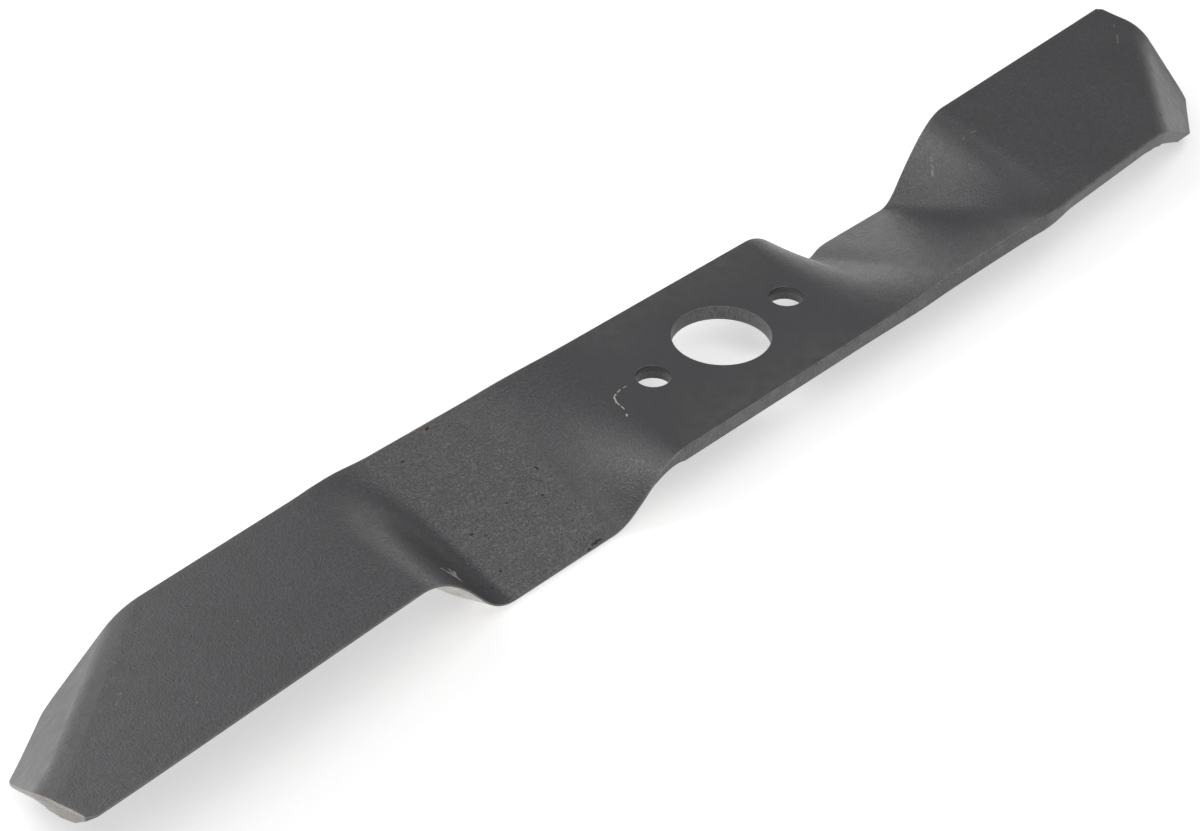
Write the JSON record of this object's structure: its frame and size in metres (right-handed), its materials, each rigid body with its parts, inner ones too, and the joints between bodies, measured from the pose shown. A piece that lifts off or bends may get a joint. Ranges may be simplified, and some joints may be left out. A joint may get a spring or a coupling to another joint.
{
  "type": "lawn mower blade",
  "caption": "Pressed steel rotary mower blade with a round mounting bore, drive pin holes, dipped ramps, pitched outer wings, ground cutting edges and folded lift flaps.",
  "frame": {"origin": "centre of the bore, on the upper face of the flat middle", "axes": "+X along the bar, +Z along the bore axis out of the ground side, +Y completes the frame, so the wing at +X has its cutting edge on the +Y side"},
  "size_m": [0.41, 0.06, 0.0232],
  "materials": {
    "blade_paint": "thin satin dark grey paint over pressed steel"
  },
  "bodies": {
    "root": {"blade": "blade_paint"}
  },
  "joints": []
}
